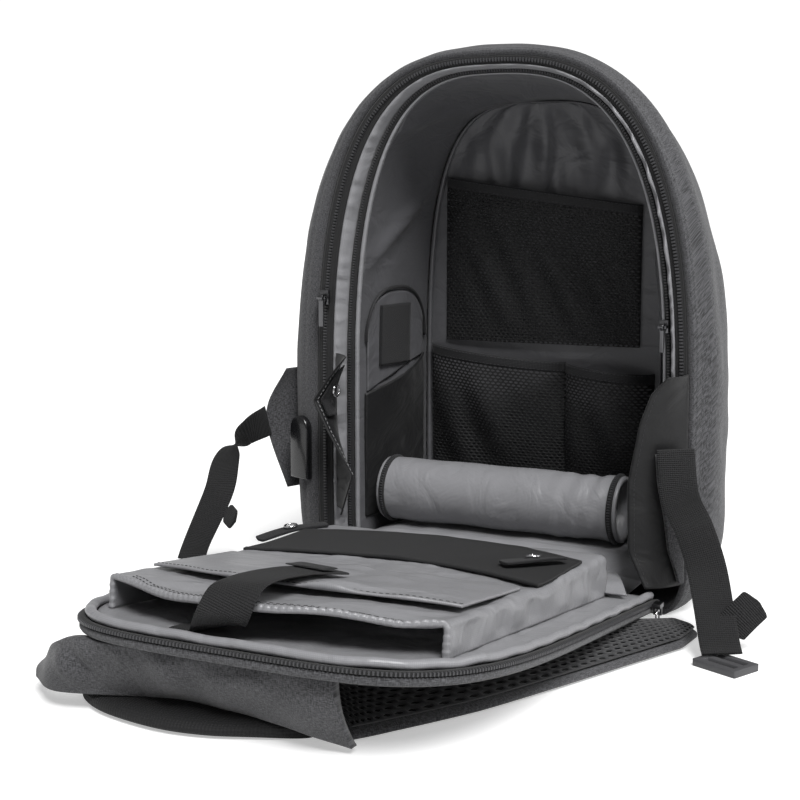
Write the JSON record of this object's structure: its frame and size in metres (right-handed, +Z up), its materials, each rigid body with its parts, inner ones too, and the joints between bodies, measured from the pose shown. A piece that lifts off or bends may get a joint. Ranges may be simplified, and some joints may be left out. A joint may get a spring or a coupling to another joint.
{
  "type": "anti theft backpack",
  "caption": "Domed padded backpack shown open: hidden back opening with zips, mesh pockets and rolled divider, and a folded-down back panel with laptop sleeve and harness.",
  "frame": {"origin": "middle of the shell's flat base, in line with the open back", "axes": "+Z up, +Y from the opening into the shell, -Y along the folded-down back panel, +X to the right of somebody who looks into the opening"},
  "size_m": [0.4905, 0.5361, 0.4361],
  "materials": {
    "heather": "heather woven polyester with a matt face",
    "lining": "smooth nylon lining with a soft sheen",
    "dark_lining": "smooth nylon lining in the depth of the bag",
    "black_cloth": "matt woven cloth and zip tape",
    "mesh": "knitted mesh",
    "webbing": "ribbed polyester webbing",
    "hook_loop": "hook and loop pile",
    "hood_plastic": "smooth moulded, glossy",
    "grey_plastic": "moulded, fine satin",
    "zip_metal": "dark plated, satin",
    "bright_metal": "polished"
  },
  "bodies": {
    "bag": {"shell_outer": "heather", "panel_edge_binding": "heather", "hinge_cloth": "heather", "strap_right": "heather", "strap_left": "heather", "yoke": "heather", "wing_left": "heather", "wing_right": "heather", "trim_band": "lining", "lining_edge_piping": "lining", "floor_pad": "lining", "side_patch": "lining", "divider_roll": "lining", "panel_lining": "lining", "panel_edge_piping": "lining", "hinge_lining": "lining", "laptop_sleeve": "lining", "tablet_pocket": "lining", "lining_side_wall": "dark_lining", "lining_front_wall": "dark_lining", "corner_piping": "dark_lining", "main_zip_tape": "black_cloth", "inner_zip_tape": "black_cloth", "upper_pocket_binding": "black_cloth", "lower_pocket_binding": "black_cloth", "side_patch_binding": "black_cloth", "side_pocket": "black_cloth", "panel_board": "black_cloth", "panel_zip_tape": "black_cloth", "strap_label": "black_cloth", "gusset_left": "black_cloth", "gusset_right": "black_cloth", "yoke_pad": "black_cloth", "upper_mesh_pocket": "mesh", "lower_mesh_pocket": "mesh", "panel_back_pad": "mesh", "strap_net_right": "mesh", "strap_net_left": "mesh", "cross_band": "webbing", "sleeve_strap": "webbing", "webbing_left": "webbing", "webbing_right": "webbing", "tail_left": "webbing", "tail_right": "webbing", "side_patch_loop": "hook_loop", "hook_tab_left": "hook_loop", "hook_tab_right": "hook_loop", "gusset_hook_strip": "hook_loop", "charging_hood": "hood_plastic", "buckle_right": "grey_plastic", "main_zip_slider": "zip_metal", "inner_zip_slider": "zip_metal", "panel_zip_slider": "zip_metal", "snap_ring_left": "bright_metal", "snap_ring_right": "bright_metal", "gusset_snap": "bright_metal"},
    "main_pull": {"main_zip_pull": "zip_metal"},
    "inner_pull": {"inner_zip_pull": "zip_metal"},
    "ring_pull": {"panel_zip_pull": "bright_metal"}
  },
  "joints": [
    {"name": "main_pull_hinge", "type": "hinge", "parent": "bag", "child": "main_pull", "pos_m": [-0.14259, -0.0097, 0.23464], "axis": [1, 0, 0], "range_deg": [-150, 0]},
    {"name": "inner_pull_hinge", "type": "hinge", "parent": "bag", "child": "inner_pull", "pos_m": [0.14338, -0.0007, 0.22039], "axis": [1, 0, 0], "range_deg": [-120, 0]},
    {"name": "ring_pull_hinge", "type": "hinge", "parent": "bag", "child": "ring_pull", "pos_m": [0.1545, -0.03277, 0.01051], "axis": [1, 0, 0], "range_deg": [-30, 30]}
  ]
}
